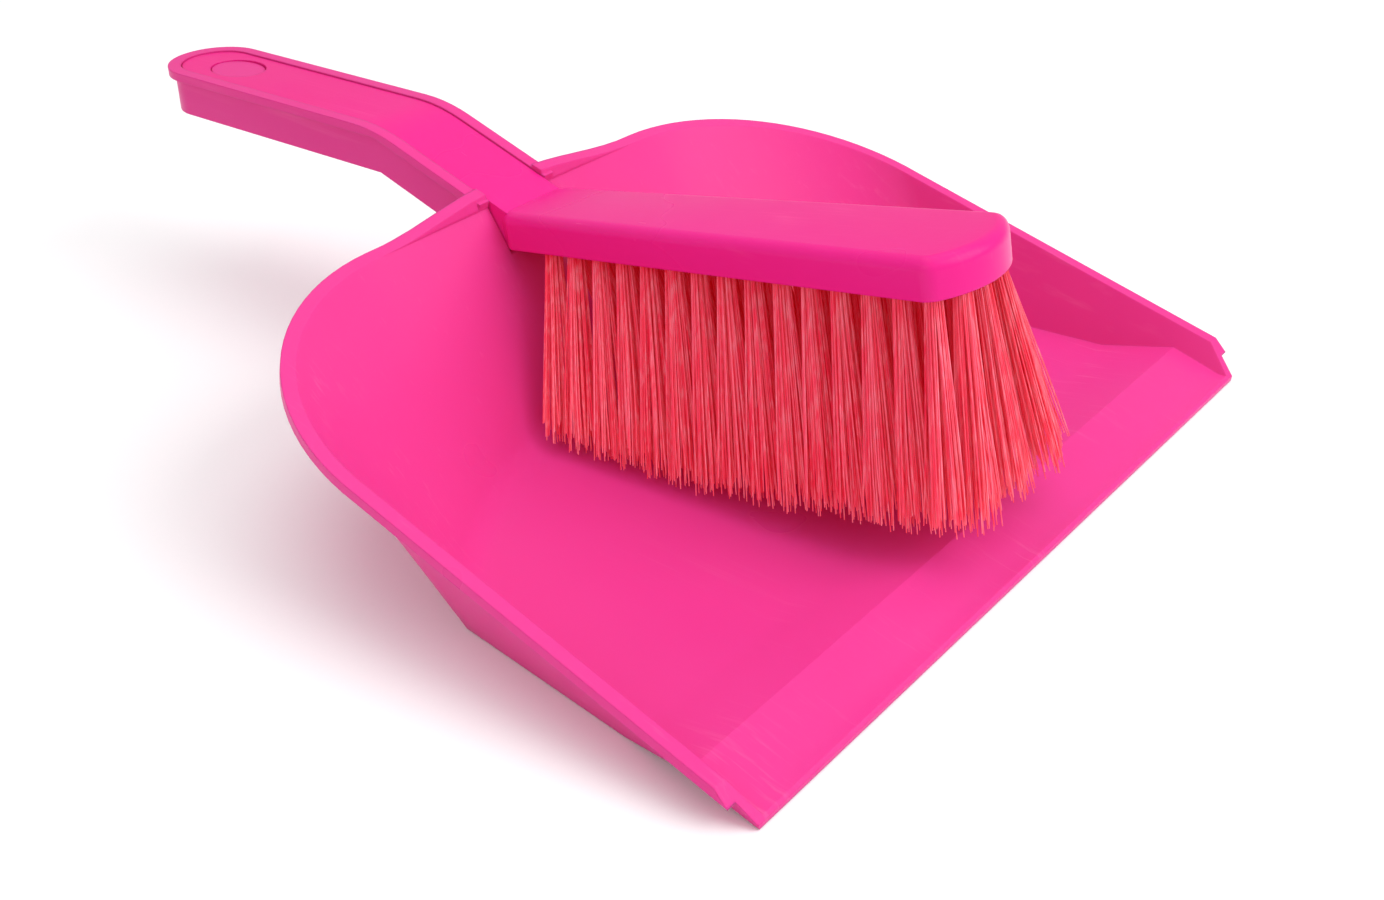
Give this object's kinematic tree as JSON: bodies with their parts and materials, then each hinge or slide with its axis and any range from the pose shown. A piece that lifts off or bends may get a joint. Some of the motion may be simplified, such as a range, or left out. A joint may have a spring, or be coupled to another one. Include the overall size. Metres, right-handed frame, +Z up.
{
  "type": "dust pan and brush set",
  "caption": "Plastic dust pan with a sloping front lip, deep rounded back and trough handle, holding a matching hand brush with coral bristle tufts nested in the handle.",
  "frame": {"origin": "on the standing surface, under the middle of the set's overall box", "axes": "+Z up, -Y towards the sweeping lip, +Y towards the end of the handle, +X to the right of someone looking from the lip to the handle"},
  "size_m": [0.2392, 0.311, 0.0797],
  "materials": {
    "pan_plastic": "satin moulded hot pink, fine scratches",
    "brush_plastic": "satin moulded deep pink",
    "bristle": "extruded coral filament, slightly glossy",
    "staple_wire": "flat drawn wire"
  },
  "bodies": {
    "pan": {"dust_pan": "pan_plastic"},
    "brush": {"brush_body": "brush_plastic", "tufts_rank_01": "bristle", "tufts_rank_02": "bristle", "tufts_rank_03": "bristle", "tufts_rank_04": "bristle", "tufts_rank_05": "bristle", "tufts_rank_06": "bristle", "tufts_rank_07": "bristle", "tufts_rank_08": "bristle", "tufts_rank_09": "bristle", "tufts_rank_10": "bristle", "tufts_rank_11": "bristle", "tufts_rank_12": "bristle", "tufts_rank_13": "bristle", "tufts_rank_14": "bristle", "tufts_rank_15": "bristle", "tufts_rank_16": "bristle", "staples_rank_01": "staple_wire", "staples_rank_02": "staple_wire", "staples_rank_03": "staple_wire", "staples_rank_04": "staple_wire", "staples_rank_05": "staple_wire", "staples_rank_06": "staple_wire", "staples_rank_07": "staple_wire", "staples_rank_08": "staple_wire", "staples_rank_09": "staple_wire", "staples_rank_10": "staple_wire", "staples_rank_11": "staple_wire", "staples_rank_12": "staple_wire", "staples_rank_13": "staple_wire", "staples_rank_14": "staple_wire", "staples_rank_15": "staple_wire", "staples_rank_16": "staple_wire"}
  },
  "joints": [
    {"name": "brush_lift", "type": "slide", "parent": "pan", "child": "brush", "axis": [0, 0, 1], "range_m": [0, 0.12]}
  ]
}
